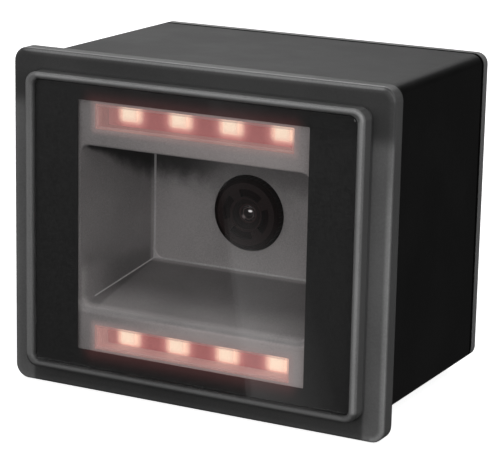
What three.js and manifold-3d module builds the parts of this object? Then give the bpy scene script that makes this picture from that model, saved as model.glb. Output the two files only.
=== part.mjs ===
// Fixed-mount area-imaging barcode scanner for a panel or kiosk, standing upright.
// Millimetres, +Z up, +X right seen from the front, the window looks along -Y.
// The origin is under the middle of the part, at the height of the flange's lower edge.
// Depths are counted from the front of the rim, heights from the middle of the flange.
import * as THREE from 'three';
import { mergeVertices } from 'three/addons/utils/BufferGeometryUtils.js';
import Module from 'manifold-3d';

const wasm = await Module();
wasm.setup();

// ---------------------------------------------------------------- driving dimensions
const WIDTH = 80;
const HEIGHT = 66;
const DEPTH = 55;
const GAP = 0.3;

const FLANGE = { front: 3.3, back: 6.75, corner: 2.8, round: 0.75 };
const RIM = { width: 71, height: 58.2, corner: 2.3, round: 0.8 };
const GLASS = { width: 67.8, height: 55.4, corner: 1.4, front: 0.2, back: 1.2, gap: 0.25 };
const MASK = { front: 1.25, back: 1.45 };
const GASKET = { front: 1.6, back: 2.2, width: 1.2 };
const PAD = { inset: 0.3, height: 0.1 };
const LEDGE = 2.4;
const CLEAR = { width: 48.7, height: 48.9, rise: 0.2 };

const BODY = { width: 73, height: 62, rise: 0.8, corner: 2.2, wall: 1.8 };
const HOUSING = { front: 6.95, back: 52 };
const PILLAR = 6;
const SEAL = { front: 52.1, back: 52.6, inset: 0.5, width: 1.2 };
const COVER = { front: 52.7, back: DEPTH, lip: 2.6, lipWall: 1.2, relief: 8.2, round: 0.4 };
const LABEL = { width: 34, height: 18, x: 0, z: 12, thick: 0.2, recess: 0.35 };

const SHROUD = {
  front: 2, width: 53.2, top: 25.6, bottom: -25.2, gap: 0.5,
  flangeFront: 7, flangeBack: 8.4, flangeGap: 0.5,
};
const MOUTH = { depth: 2, halfWidth: 24.4, top: 15.85, bottom: -15.95, corner: 2 };
const THROAT = { depth: 25, halfWidth: 21.4, top: 13.3, bottom: -11.4 };
const FUNNEL_WALL = 1.2;
const LIP_ROUND = 1.2;

const LED_WINDOW = { width: 41.9, height: 4.8, row: 21.6, front: 2.15, back: 3.1 };
const LED = { size: 3, tall: 2.8, front: 6.2, back: 7, pitch: 10.8, row: 21.95, rise: -0.25 };
const LED_BOARD = { width: 46, height: 7.2, front: 7.1, back: 8.1, row: 21.6 };
const FLEX = { left: 8, right: 13, thick: 0.3, lift: 0.3, start: 18.6, run: 24.4, end: 19 };

const LENS = {
  rise: 0.9, face: 23.6, headR: 7.05, headDepth: 2.6, holeR: 7.6,
  bossR: 2.75, mouthR: 2, glassFace: 24.6, cellR: 3.1, barrelR: 5.9,
};
const SLOT = { count: 4, inner: 3.5, outer: 5, half: 31, first: -12.5, depth: 0.9 };
const KNURL = { count: 36, r: 0.3, depth: 0.2, inset: 0.5 };
const FRONT_ELEMENT = { radius: 2.8, front: 25.1, back: 26.1, bulge: 0.4 };
const REAR_ELEMENT = { radius: 4, front: 32, back: 33, bulge: 0.8 };
const BARREL = { front: 26.3, back: 33.4, bore: 4.4 };
const HOLDER = {
  front: 28.6, tubeR: 7.8, boreR: 6.2, seat: 34.2, base: 21, baseFront: 34.2, back: 38.1,
  apertureR: 3.4, wellFront: 35.2, well: 15,
};
const IR_FILTER = { size: 8, front: 35.4, back: 35.9 };
const SENSOR = { width: 9, height: 8, front: 36.9, back: 38.2 };

const CAMERA_BOARD = { width: 44, height: 28, front: 38.4, back: 39.9 };
const MAIN_BOARD = { width: 66, height: 55.6, notch: 6.4, front: 43.4, back: 45 };
const PROCESSOR = { width: 13, height: 13, x: -7, z: 1, thick: 1.2 };
const MEMORY = { width: 9, height: 7, x: 7, z: 1, thick: 1 };
const BUZZER = { r: 4.5, wallR: 4, holeR: 1, tall: 4.2, x: 25.2, z: 18.2 };
const RIBBON = { width: 10, thick: 0.3, lift: 0.35, end: 9, bend: 18 };
const SOCKET = { width: 15.2, height: 13.2, front: 45.15, back: 54.8, x: 0, z: -12 };
const PORT = { width: 11.8, height: 7, depth: 8.2, rise: 1, keyWidth: 5.6, keyHeight: 2.2 };

const POST = { x: 18, z: 9.6, r: 2.6, back: 38.2, bore: 1.15, hole: 1.3 };
const BOARD_SCREW = { r: 0.9, head: 1.9, headHeight: 1.3, tip: 30.5 };
const CASE_SCREW = { x: 31.7, z: 26.2, r: 1.25, head: 2.4, sink: 1.3, bore: 1.5, tip: 3.9 };

const MID_Z = HEIGHT / 2;

// ---------------------------------------------------------------- frame and small helpers
const atDepth = (depth) => depth - DEPTH / 2;
const atRise = (rise) => MID_Z + rise;
const radians = (degrees) => (degrees * Math.PI) / 180;

const model = new THREE.Group();

function addPart(name, geometry, material) {
  const mesh = new THREE.Mesh(geometry, material);
  mesh.name = name;
  model.add(mesh);
}

const plastic = (color, roughness) => new THREE.MeshStandardMaterial({ color, roughness, metalness: 0 });
const metal = (color, roughness) => new THREE.MeshStandardMaterial({ color, roughness, metalness: 1 });

const bezelGrey = plastic(0x46474a, 0.55);
const coverGrey = plastic(0x4c4d50, 0.6);
const housingBlack = plastic(0x131315, 0.6);
const shroudGrey = plastic(0x8b8585, 0.75);
const maskBlack = plastic(0x151516, 0.35);
const foamBlack = plastic(0x101010, 0.95);
const boardGreen = plastic(0x14502c, 0.5);
const chipBlack = plastic(0x17181a, 0.5);
const lensBlack = plastic(0x17171a, 0.45);
const ribbonWhite = plastic(0xd9d6cc, 0.5);
const flexAmber = plastic(0xa8641c, 0.45);
const labelSilver = plastic(0xc9cbcc, 0.4);
const steel = metal(0xa9abae, 0.35);
const brass = metal(0xb89a52, 0.35);
const clearGlass = new THREE.MeshStandardMaterial({
  color: 0xf2f4f5, roughness: 0.05, metalness: 0, transparent: true, opacity: 0.2,
});
const lensGlass = new THREE.MeshStandardMaterial({ color: 0x32283a, roughness: 0.05, metalness: 0 });
const sensorGlass = new THREE.MeshStandardMaterial({ color: 0x2d3a46, roughness: 0.1, metalness: 0.2 });
const ledWindowPink = new THREE.MeshStandardMaterial({
  color: 0xc98080, roughness: 0.35, metalness: 0, emissive: 0x4a1010,
});
const ledWhite = new THREE.MeshStandardMaterial({
  color: 0xfff0dc, roughness: 0.4, metalness: 0, emissive: 0xffb08a,
});

// Solids are joined and cut as manifolds, then turned back into geometries.
function solid(geometry) {
  const bare = geometry.clone();
  bare.deleteAttribute('normal');
  bare.deleteAttribute('uv');
  const merged = mergeVertices(bare, 1e-4);
  return new wasm.Manifold(new wasm.Mesh({
    numProp: 3,
    vertProperties: new Float32Array(merged.attributes.position.array),
    triVerts: new Uint32Array(merged.index.array),
  }));
}

function shell(manifold) {
  const mesh = manifold.getMesh();
  const geometry = new THREE.BufferGeometry();
  geometry.setAttribute('position', new THREE.BufferAttribute(mesh.vertProperties, 3));
  geometry.setIndex(new THREE.BufferAttribute(mesh.triVerts, 1));
  geometry.computeVertexNormals();
  return geometry;
}

const joined = (first, ...others) => others.reduce((whole, next) => whole.add(next), first);
const cut = (first, ...tools) => tools.reduce((whole, tool) => whole.subtract(tool), first);

// A rectangle with rounded corners in the X-Z plane, counted from the flange's middle.
function outline({ width, height, corner = 0, x = 0, z = 0 }, arcSteps = 4) {
  const points = [];
  const signs = [[1, -1], [1, 1], [-1, 1], [-1, -1]];
  signs.forEach(([sideX, sideZ], quarter) => {
    const centreX = x + sideX * (width / 2 - corner);
    const centreZ = z + sideZ * (height / 2 - corner);
    const steps = corner > 0 ? arcSteps : 0;
    for (let step = 0; step <= steps; step += 1) {
      const angle = (quarter - 1 + (steps ? step / steps : 0)) * (Math.PI / 2);
      points.push(new THREE.Vector2(
        centreX + corner * Math.cos(angle),
        centreZ + corner * Math.sin(angle),
      ));
    }
  });
  return new THREE.Shape(points);
}

function framed(outer, inner, arcSteps) {
  const shape = outline(outer, arcSteps);
  shape.holes.push(outline(inner, arcSteps));
  return shape;
}

function disc(radius, x, z, sides = 16) {
  const points = [];
  for (let side = 0; side < sides; side += 1) {
    const angle = (side / sides) * 2 * Math.PI;
    points.push(new THREE.Vector2(x + radius * Math.cos(angle), z + radius * Math.sin(angle)));
  }
  return new THREE.Shape(points);
}

// Extrudes an X-Z outline between two depths. `round` rounds the edges of both end faces.
function slab(shape, front, back, round = 0) {
  const geometry = new THREE.ExtrudeGeometry(shape, {
    depth: back - front - 2 * round,
    bevelEnabled: round > 0,
    bevelThickness: round,
    bevelSize: round,
    bevelOffset: -round,
    bevelSegments: 3,
  });
  geometry.rotateX(Math.PI / 2);
  geometry.translate(0, atDepth(back - round), MID_Z);
  return geometry;
}

const block = (spec, front, back, round) => solid(slab(outline(spec), front, back, round));
const rod = (radius, x, z, front, back, sides) => solid(slab(disc(radius, x, z, sides), front, back));

// Turns a profile of [radius, depth] points about a line along Y. A profile that starts off
// the axis is closed on itself.
function turned(profile, x = 0, rise = 0, sides = 32) {
  const points = profile.map(([radius, depth]) => new THREE.Vector2(radius, depth));
  if (points[0].x > 0) {
    points.push(points[0].clone());
  }
  const geometry = new THREE.LatheGeometry(points, sides);
  geometry.translate(x, atDepth(0), atRise(rise));
  return geometry;
}

// A thin strip of constant thickness that follows a path of [depth, rise] corners.
function strip(path, thickness, left, right) {
  const sideOf = (from, to) => {
    const length = Math.hypot(to[0] - from[0], to[1] - from[1]);
    return [-(to[1] - from[1]) / length, (to[0] - from[0]) / length];
  };
  const offset = (index, sign) => {
    const before = index > 0 ? sideOf(path[index - 1], path[index]) : sideOf(path[0], path[1]);
    const after = index < path.length - 1 ? sideOf(path[index], path[index + 1]) : before;
    const mitre = 1 + before[0] * after[0] + before[1] * after[1];
    const reach = (sign * thickness) / 2 / (mitre / 2) / 2;
    return new THREE.Vector2(
      path[index][0] + (before[0] + after[0]) * reach,
      path[index][1] + (before[1] + after[1]) * reach,
    );
  };
  const indices = path.map((point, index) => index);
  const there = indices.map((index) => offset(index, -1));
  const back = indices.map((index) => offset(index, 1)).reverse();
  const geometry = new THREE.ExtrudeGeometry(new THREE.Shape([...there, ...back]), {
    depth: right - left,
    bevelEnabled: false,
  });
  const toDepthRise = new THREE.Matrix4().makeBasis(
    new THREE.Vector3(0, 1, 0),
    new THREE.Vector3(0, 0, 1),
    new THREE.Vector3(1, 0, 0),
  );
  geometry.applyMatrix4(toDepthRise);
  geometry.translate(left, atDepth(0), MID_Z);
  return geometry;
}

// The four corners of a rectangle about (0, rise), numbered from the top left.
const corners = (halfX, halfZ, rise) => [
  [-halfX, rise + halfZ],
  [halfX, rise + halfZ],
  [-halfX, rise - halfZ],
  [halfX, rise - halfZ],
];
const caseScrewPlaces = corners(CASE_SCREW.x, CASE_SCREW.z, BODY.rise);
const postPlaces = corners(POST.x, POST.z, LENS.rise);

// ---------------------------------------------------------------- front: bezel and window
function frontBezel() {
  const flange = { width: WIDTH, height: HEIGHT, corner: FLANGE.corner };
  const pad = {
    width: BODY.width + 2 * PAD.inset,
    height: BODY.height + 2 * PAD.inset,
    corner: BODY.corner,
    z: BODY.rise,
  };
  const pocket = {
    width: GLASS.width + 2 * GLASS.gap,
    height: GLASS.height + 2 * GLASS.gap,
    corner: GLASS.corner,
  };
  const opening = {
    width: SHROUD.width + 2 * SHROUD.gap,
    height: SHROUD.top - SHROUD.bottom + 2 * SHROUD.gap,
    corner: 1.5,
    z: (SHROUD.top + SHROUD.bottom) / 2,
  };
  const body = joined(
    block(flange, FLANGE.front, FLANGE.back, FLANGE.round),
    block(flange, FLANGE.front + 1.5 * FLANGE.round, FLANGE.back),
    block(RIM, 0, FLANGE.front + RIM.round + 0.2, RIM.round),
    block(pad, FLANGE.back - 1, FLANGE.back + PAD.height),
  );
  const holes = caseScrewPlaces.map(([x, z]) => (
    rod(CASE_SCREW.r + 0.1, x, z, CASE_SCREW.tip - GAP, FLANGE.back + 1)
  ));
  return shell(cut(body, block(pocket, -1, LEDGE), block(opening, LEDGE - 1, FLANGE.back + 1), ...holes));
}

function windowGlass() {
  return slab(outline(GLASS), GLASS.front, GLASS.back);
}

function windowMask() {
  const border = { ...GLASS, width: GLASS.width - 0.2, height: GLASS.height - 0.2 };
  const clear = { width: CLEAR.width, height: CLEAR.height, z: CLEAR.rise };
  return slab(framed(border, clear), MASK.front, MASK.back);
}

function windowGasket() {
  const outer = { ...GLASS, width: GLASS.width - 0.4, height: GLASS.height - 0.4 };
  const inner = {
    width: outer.width - 2 * GASKET.width,
    height: outer.height - 2 * GASKET.width,
    corner: 0.8,
    z: CLEAR.rise,
  };
  return slab(framed(outer, inner), GASKET.front, GASKET.back);
}

// ---------------------------------------------------------------- inner shroud and lights
// A straight-sided funnel between the mouth and the throat, grown outwards by `grow`.
function funnel(front, back, grow) {
  const sizeAt = (depth) => {
    const part = (depth - MOUTH.depth) / (THROAT.depth - MOUTH.depth);
    const mix = (from, to) => from + (to - from) * part;
    return {
      half: mix(MOUTH.halfWidth, THROAT.halfWidth) + grow,
      top: mix(MOUTH.top, THROAT.top) + grow,
      bottom: mix(MOUTH.bottom, THROAT.bottom) - grow,
    };
  };
  const near = sizeAt(front);
  const far = sizeAt(back);
  const geometry = slab(outline({
    width: 2 * near.half,
    height: near.top - near.bottom,
    corner: MOUTH.corner + grow,
    z: (near.top + near.bottom) / 2,
  }), front, back);
  const place = geometry.attributes.position;
  for (let index = 0; index < place.count; index += 1) {
    if (place.getY(index) > atDepth((front + back) / 2)) {
      const along = (place.getZ(index) - atRise(near.bottom)) / (near.top - near.bottom);
      place.setX(index, (place.getX(index) * far.half) / near.half);
      place.setZ(index, atRise(far.bottom) + along * (far.top - far.bottom));
    }
  }
  return solid(geometry);
}

// The rounded sill along the lower edge of the mouth, as a cutter.
function sillCutter() {
  const steps = 4;
  const edge = MOUTH.bottom - LIP_ROUND;
  const profile = [new THREE.Vector2(SHROUD.front - 1, MOUTH.bottom + 2)];
  profile.push(new THREE.Vector2(SHROUD.front - 1, edge));
  for (let step = 0; step <= steps; step += 1) {
    const angle = (step / steps) * (Math.PI / 2);
    profile.push(new THREE.Vector2(
      SHROUD.front + LIP_ROUND * (1 - Math.cos(angle)),
      edge + LIP_ROUND * Math.sin(angle),
    ));
  }
  profile.push(new THREE.Vector2(SHROUD.front + LIP_ROUND, MOUTH.bottom + 2));
  const geometry = new THREE.ExtrudeGeometry(new THREE.Shape(profile), {
    depth: 2 * (MOUTH.halfWidth - MOUTH.corner),
    bevelEnabled: false,
  });
  geometry.applyMatrix4(new THREE.Matrix4().makeBasis(
    new THREE.Vector3(0, 1, 0),
    new THREE.Vector3(0, 0, 1),
    new THREE.Vector3(1, 0, 0),
  ));
  geometry.translate(MOUTH.corner - MOUTH.halfWidth, atDepth(0), MID_Z);
  return solid(geometry);
}

function innerShroud() {
  const middle = (SHROUD.top + SHROUD.bottom) / 2;
  const face = { width: SHROUD.width, height: SHROUD.top - SHROUD.bottom, corner: 1, z: middle };
  const flange = {
    width: BODY.width - 2 * BODY.wall - 2 * SHROUD.flangeGap,
    height: BODY.height - 2 * BODY.wall - 2 * SHROUD.flangeGap,
    corner: 1,
    z: BODY.rise,
  };
  const wallBack = THROAT.depth + FUNNEL_WALL;
  const posts = postPlaces.map(([x, z]) => rod(POST.r, x, z, THROAT.depth + 0.5, POST.back));
  const body = joined(
    block(face, SHROUD.front, SHROUD.flangeBack),
    block(flange, SHROUD.flangeFront, SHROUD.flangeBack),
    funnel(SHROUD.front + GAP, wallBack, FUNNEL_WALL),
    ...posts,
  );
  const lights = [1, -1].flatMap((side) => [
    block({ width: LED_WINDOW.width, height: LED_WINDOW.height, z: side * LED_WINDOW.row },
      SHROUD.front - 1, LED_BOARD.front),
    block({ width: LED_BOARD.width + 0.6, height: LED_BOARD.height + 0.6, z: side * LED_BOARD.row },
      LED_BOARD.front - 0.1, SHROUD.flangeBack + 1),
  ]);
  const screwHoles = caseScrewPlaces.map(([x, z]) => (
    rod(CASE_SCREW.bore + 0.1, x, z, SHROUD.flangeFront - 1, SHROUD.flangeBack + 1)
  ));
  const postHoles = postPlaces.map(([x, z]) => (
    rod(BOARD_SCREW.r + 0.15, x, z, BOARD_SCREW.tip - GAP, POST.back + 1, 12)
  ));
  return shell(cut(
    body,
    funnel(SHROUD.front - 1, THROAT.depth, 0),
    sillCutter(),
    rod(LENS.holeR, 0, LENS.rise, THROAT.depth - 1, wallBack + 1, 48),
    ...lights,
    ...screwHoles,
    ...postHoles,
  ));
}

function ledWindow(side) {
  const diffuser = {
    width: LED_WINDOW.width - 0.2,
    height: LED_WINDOW.height - 0.2,
    z: side * LED_WINDOW.row,
  };
  return slab(outline(diffuser), LED_WINDOW.front, LED_WINDOW.back);
}

function ledBoard(side) {
  const board = { width: LED_BOARD.width, height: LED_BOARD.height, corner: 0.6, z: side * LED_BOARD.row };
  return slab(outline(board, 2), LED_BOARD.front, LED_BOARD.back);
}

function led(side, place) {
  const x = (place - 2.5) * LED.pitch;
  const z = side * LED.row + LED.rise;
  return slab(outline({ width: LED.size, height: LED.tall, x, z }), LED.front, LED.back);
}

// A flat lead from the back of an LED board along the inside of the case to the main board.
function ledFlex(side) {
  const run = side * FLEX.run;
  return strip([
    [LED_BOARD.back + FLEX.lift, side * FLEX.start],
    [LED_BOARD.back + FLEX.lift, run],
    [MAIN_BOARD.front - FLEX.lift, run],
    [MAIN_BOARD.front - FLEX.lift, side * FLEX.end],
  ], FLEX.thick, FLEX.left, FLEX.right);
}

// ---------------------------------------------------------------- lens and camera
function arcSlot(place) {
  const steps = 6;
  const middle = SLOT.first + (place * 360) / SLOT.count;
  const at = (radius, step, direction) => {
    const angle = radians(middle + direction * (SLOT.half - (2 * SLOT.half * step) / steps));
    return new THREE.Vector2(radius * Math.cos(angle), LENS.rise + radius * Math.sin(angle));
  };
  const points = [];
  for (let step = 0; step <= steps; step += 1) {
    points.push(at(SLOT.outer, step, -1));
  }
  for (let step = 0; step <= steps; step += 1) {
    points.push(at(SLOT.inner, step, 1));
  }
  return solid(slab(new THREE.Shape(points), LENS.face - 1, LENS.face + SLOT.depth));
}

// The knurled head of the lens, with four slots for a pin spanner and a conical mouth.
function lensRing() {
  const back = LENS.face + LENS.headDepth;
  const head = solid(turned([
    [LENS.mouthR, LENS.glassFace + 0.2],
    [LENS.mouthR, LENS.glassFace],
    [LENS.bossR, LENS.face],
    [LENS.headR - 0.15, LENS.face],
    [LENS.headR, LENS.face + 0.15],
    [LENS.headR, back],
    [LENS.cellR, back],
    [LENS.cellR, LENS.glassFace + 0.2],
  ], 0, LENS.rise, 48));
  const slots = [];
  for (let place = 0; place < SLOT.count; place += 1) {
    slots.push(arcSlot(place));
  }
  const grooves = [];
  for (let place = 0; place < KNURL.count; place += 1) {
    const angle = ((place + 0.5) / KNURL.count) * 2 * Math.PI;
    const radius = LENS.headR + KNURL.r - KNURL.depth;
    grooves.push(rod(KNURL.r, radius * Math.cos(angle), LENS.rise + radius * Math.sin(angle),
      LENS.face + KNURL.inset, back + 1, 6));
  }
  return shell(cut(head, ...slots, ...grooves));
}

function lensBarrel() {
  return turned([
    [BARREL.bore, BARREL.front],
    [LENS.barrelR - 0.3, BARREL.front],
    [LENS.barrelR, BARREL.front + 0.3],
    [LENS.barrelR, BARREL.back - 0.4],
    [LENS.barrelR - 0.4, BARREL.back],
    [BARREL.bore, BARREL.back],
  ], 0, LENS.rise);
}

function lensElement({ radius, front, back, bulge }) {
  const steps = 4;
  const profile = [];
  for (let step = 0; step <= steps; step += 1) {
    const reach = step / steps;
    profile.push([radius * reach, front - bulge * (1 - reach * reach)]);
  }
  profile.push([radius, back], [0, back]);
  return turned(profile, 0, LENS.rise, 24);
}

function lensHolder() {
  const base = { width: HOLDER.base, height: HOLDER.base, corner: 1, z: LENS.rise };
  const well = { width: HOLDER.well, height: HOLDER.well, z: LENS.rise };
  return shell(cut(
    joined(
      rod(HOLDER.tubeR, 0, LENS.rise, HOLDER.front, HOLDER.baseFront + 0.5, 32),
      block(base, HOLDER.baseFront, HOLDER.back),
    ),
    rod(HOLDER.boreR, 0, LENS.rise, HOLDER.front - 1, HOLDER.seat, 32),
    rod(HOLDER.apertureR, 0, LENS.rise, HOLDER.seat - 1, HOLDER.wellFront + 1, 24),
    block(well, HOLDER.wellFront, HOLDER.back + 1),
  ));
}

const irFilter = () => slab(
  outline({ width: IR_FILTER.size, height: IR_FILTER.size, z: LENS.rise }), IR_FILTER.front, IR_FILTER.back,
);
const imageSensor = () => slab(
  outline({ width: SENSOR.width, height: SENSOR.height, z: LENS.rise }), SENSOR.front, SENSOR.back,
);

// ---------------------------------------------------------------- boards
function cameraBoard() {
  const board = { width: CAMERA_BOARD.width, height: CAMERA_BOARD.height, corner: 1, z: LENS.rise };
  const holes = postPlaces.map(([x, z]) => rod(POST.hole, x, z, 0, DEPTH, 12));
  return shell(cut(block(board, CAMERA_BOARD.front, CAMERA_BOARD.back), ...holes));
}

// The main board fills the case and is notched at its corners around the case's pillars.
function mainBoard() {
  const board = { width: MAIN_BOARD.width, height: MAIN_BOARD.height, z: BODY.rise };
  const notches = corners(MAIN_BOARD.width / 2, MAIN_BOARD.height / 2, BODY.rise).map(([x, z]) => (
    block({ width: 2 * MAIN_BOARD.notch, height: 2 * MAIN_BOARD.notch, corner: 1, x, z }, 0, DEPTH)
  ));
  const holes = postPlaces.map(([x, z]) => rod(POST.hole, x, z, 0, DEPTH, 12));
  return shell(cut(block(board, MAIN_BOARD.front, MAIN_BOARD.back), ...notches, ...holes));
}

const chip = ({ width, height, x, z, thick }) => slab(
  outline({ width, height, x, z, corner: 0.4 }, 2), MAIN_BOARD.front - 0.1 - thick, MAIN_BOARD.front - 0.1,
);

function buzzer() {
  const back = MAIN_BOARD.front - 0.1;
  const front = back - BUZZER.tall;
  return turned([
    [BUZZER.holeR, front + 0.8],
    [BUZZER.holeR, front],
    [BUZZER.r - 0.3, front],
    [BUZZER.r, front + 0.3],
    [BUZZER.r, back],
    [BUZZER.wallR, back],
    [BUZZER.wallR, front + 0.8],
  ], BUZZER.x, BUZZER.z, 24);
}

// The ribbon folds from the back of the camera board round to the front of the main board.
function cameraRibbon() {
  const near = CAMERA_BOARD.back + RIBBON.lift;
  const far = MAIN_BOARD.front - RIBBON.lift;
  return strip([
    [near, RIBBON.end],
    [near, RIBBON.bend],
    [far, RIBBON.bend],
    [far, RIBBON.end],
  ], RIBBON.thick, -RIBBON.width / 2, RIBBON.width / 2);
}

// An eight-way modular socket: a box with a stepped opening for the plug and its latch.
function interfaceSocket() {
  const body = { width: SOCKET.width, height: SOCKET.height, corner: 0.4, x: SOCKET.x, z: SOCKET.z };
  const floor = SOCKET.back - PORT.depth;
  const port = { width: PORT.width, height: PORT.height, x: SOCKET.x, z: SOCKET.z + PORT.rise };
  const key = {
    width: PORT.keyWidth,
    height: 2 * PORT.keyHeight,
    x: SOCKET.x,
    z: port.z - PORT.height / 2,
  };
  return shell(cut(
    block(body, SOCKET.front, SOCKET.back),
    block(port, floor, SOCKET.back + 1),
    block(key, floor, SOCKET.back + 1),
  ));
}

function boardSpacer([x, z]) {
  const front = CAMERA_BOARD.back + 0.15;
  const back = MAIN_BOARD.front - 0.15;
  return turned([
    [POST.bore, front], [POST.r - 0.2, front], [POST.r - 0.2, back], [POST.bore, back],
  ], x, z, 6);
}

function boardScrew([x, z]) {
  const seat = MAIN_BOARD.back + 0.15;
  return turned([
    [0, BOARD_SCREW.tip],
    [BOARD_SCREW.r, BOARD_SCREW.tip],
    [BOARD_SCREW.r, seat],
    [BOARD_SCREW.head, seat],
    [BOARD_SCREW.head, seat + 0.7 * BOARD_SCREW.headHeight],
    [0.7 * BOARD_SCREW.head, seat + BOARD_SCREW.headHeight],
    [0, seat + BOARD_SCREW.headHeight],
  ], x, z, 12);
}

// ---------------------------------------------------------------- case
const inside = (gap) => ({
  width: BODY.width - 2 * BODY.wall - 2 * gap,
  height: BODY.height - 2 * BODY.wall - 2 * gap,
  z: BODY.rise,
});

// A square sleeve with a pillar in each corner, bored right through for the case screws.
function mainHousing() {
  const outer = { width: BODY.width, height: BODY.height, corner: BODY.corner, z: BODY.rise };
  const inner = { ...inside(0), corner: 0.6 };
  const sleeve = solid(slab(framed(outer, inner), HOUSING.front, HOUSING.back));
  const toPillar = PILLAR / 2 - 0.2;
  const pillarPlaces = corners(inner.width / 2 - toPillar, inner.height / 2 - toPillar, BODY.rise);
  const pillars = pillarPlaces.map(([x, z]) => (
    block({ width: PILLAR + 0.4, height: PILLAR + 0.4, x, z }, SHROUD.flangeBack + GAP, HOUSING.back)
  ));
  const bores = caseScrewPlaces.map(([x, z]) => rod(CASE_SCREW.bore, x, z, 0, DEPTH + 1));
  return shell(cut(joined(sleeve, ...pillars), ...bores));
}

function rearSeal() {
  const outer = {
    width: BODY.width - 2 * SEAL.inset,
    height: BODY.height - 2 * SEAL.inset,
    corner: BODY.corner - SEAL.inset,
    z: BODY.rise,
  };
  const inner = {
    width: outer.width - 2 * SEAL.width,
    height: outer.height - 2 * SEAL.width,
    corner: 0.6,
    z: BODY.rise,
  };
  return slab(framed(outer, inner), SEAL.front, SEAL.back);
}

function rearCover() {
  const plate = { width: BODY.width, height: BODY.height, corner: BODY.corner, z: BODY.rise };
  const lipOuter = { ...inside(GAP), corner: 0.5 };
  const lipInner = { ...inside(GAP + COVER.lipWall) };
  const lip = solid(slab(framed(lipOuter, lipInner), COVER.front - COVER.lip, COVER.front + 0.3));
  const reliefs = corners(BODY.width / 2, BODY.height / 2, BODY.rise).map(([x, z]) => (
    block({ width: 2 * COVER.relief, height: 2 * COVER.relief, x, z }, 0, COVER.front)
  ));
  const socketHole = {
    width: SOCKET.width + 2 * GAP,
    height: SOCKET.height + 2 * GAP,
    corner: 0.6,
    x: SOCKET.x,
    z: SOCKET.z,
  };
  const labelRecess = {
    width: LABEL.width + 2 * GAP,
    height: LABEL.height + 2 * GAP,
    corner: 1,
    x: LABEL.x,
    z: LABEL.z,
  };
  const sinks = caseScrewPlaces.map(([x, z]) => solid(turned([
    [0, COVER.front - 1],
    [CASE_SCREW.bore, COVER.front - 1],
    [CASE_SCREW.bore, DEPTH - CASE_SCREW.sink - 0.1],
    [CASE_SCREW.head + 0.2, DEPTH - 0.1],
    [CASE_SCREW.head + 0.2, DEPTH + 1],
    [0, DEPTH + 1],
  ], x, z, 24)));
  return shell(cut(
    joined(
      block(plate, COVER.front, COVER.back, COVER.round),
      block(plate, COVER.front, COVER.back - 1.5 * COVER.round),
      cut(lip, ...reliefs),
    ),
    block(socketHole, 0, DEPTH + 1),
    block(labelRecess, DEPTH - LABEL.recess, DEPTH + 1),
    ...sinks,
  ));
}

function caseScrew([x, z]) {
  const top = DEPTH - 0.2;
  return turned([
    [0, CASE_SCREW.tip],
    [CASE_SCREW.r * 0.6, CASE_SCREW.tip],
    [CASE_SCREW.r, CASE_SCREW.tip + 0.8],
    [CASE_SCREW.r, top - CASE_SCREW.sink],
    [CASE_SCREW.head, top - 0.15],
    [CASE_SCREW.head, top],
    [0, top],
  ], x, z, 16);
}

function blankLabel() {
  const sticker = { width: LABEL.width, height: LABEL.height, corner: 0.8, x: LABEL.x, z: LABEL.z };
  const front = DEPTH - LABEL.recess + 0.05;
  return slab(outline(sticker, 3), front, front + LABEL.thick);
}

// ---------------------------------------------------------------- the assembly
addPart('front_bezel', frontBezel(), bezelGrey);
addPart('window_glass', windowGlass(), clearGlass);
addPart('window_mask', windowMask(), maskBlack);
addPart('window_gasket', windowGasket(), foamBlack);
addPart('inner_shroud', innerShroud(), shroudGrey);
for (const [row, side] of [['top', 1], ['bottom', -1]]) {
  addPart(`led_window_${row}`, ledWindow(side), ledWindowPink);
  addPart(`led_board_${row}`, ledBoard(side), boardGreen);
  addPart(`led_flex_${row}`, ledFlex(side), flexAmber);
  for (let place = 1; place <= 4; place += 1) {
    addPart(`led_${row}_${place}`, led(side, place), ledWhite);
  }
}
addPart('lens_ring', lensRing(), lensBlack);
addPart('lens_barrel', lensBarrel(), lensBlack);
addPart('lens_front_glass', lensElement(FRONT_ELEMENT), lensGlass);
addPart('lens_rear_glass', lensElement(REAR_ELEMENT), lensGlass);
addPart('lens_holder', lensHolder(), lensBlack);
addPart('ir_filter', irFilter(), lensGlass);
addPart('image_sensor', imageSensor(), sensorGlass);
addPart('camera_board', cameraBoard(), boardGreen);
addPart('camera_ribbon', cameraRibbon(), ribbonWhite);
addPart('main_board', mainBoard(), boardGreen);
addPart('processor_chip', chip(PROCESSOR), chipBlack);
addPart('memory_chip', chip(MEMORY), chipBlack);
addPart('buzzer', buzzer(), chipBlack);
addPart('interface_socket', interfaceSocket(), chipBlack);
addPart('main_housing', mainHousing(), housingBlack);
addPart('rear_seal', rearSeal(), foamBlack);
addPart('rear_cover', rearCover(), coverGrey);
addPart('blank_label', blankLabel(), labelSilver);
postPlaces.forEach((place, index) => {
  addPart(`board_spacer_${index + 1}`, boardSpacer(place), brass);
  addPart(`board_screw_${index + 1}`, boardScrew(place), steel);
});
caseScrewPlaces.forEach((place, index) => {
  addPart(`case_screw_${index + 1}`, caseScrew(place), steel);
});

export default model;
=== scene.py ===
"""Looks for a fixed-mount barcode scanner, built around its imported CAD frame.

Metres, +Z up, the window looks along -Y. Shapes are worked out in millimetres as
(x, depth, rise): depth counts back from the front of the rim, rise up from the middle of the
flange, and both are turned into the frame's own places by `place`.
"""

from math import cos, hypot, pi, radians, sin

import bmesh
import bpy
from mathutils import Matrix, Vector


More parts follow.
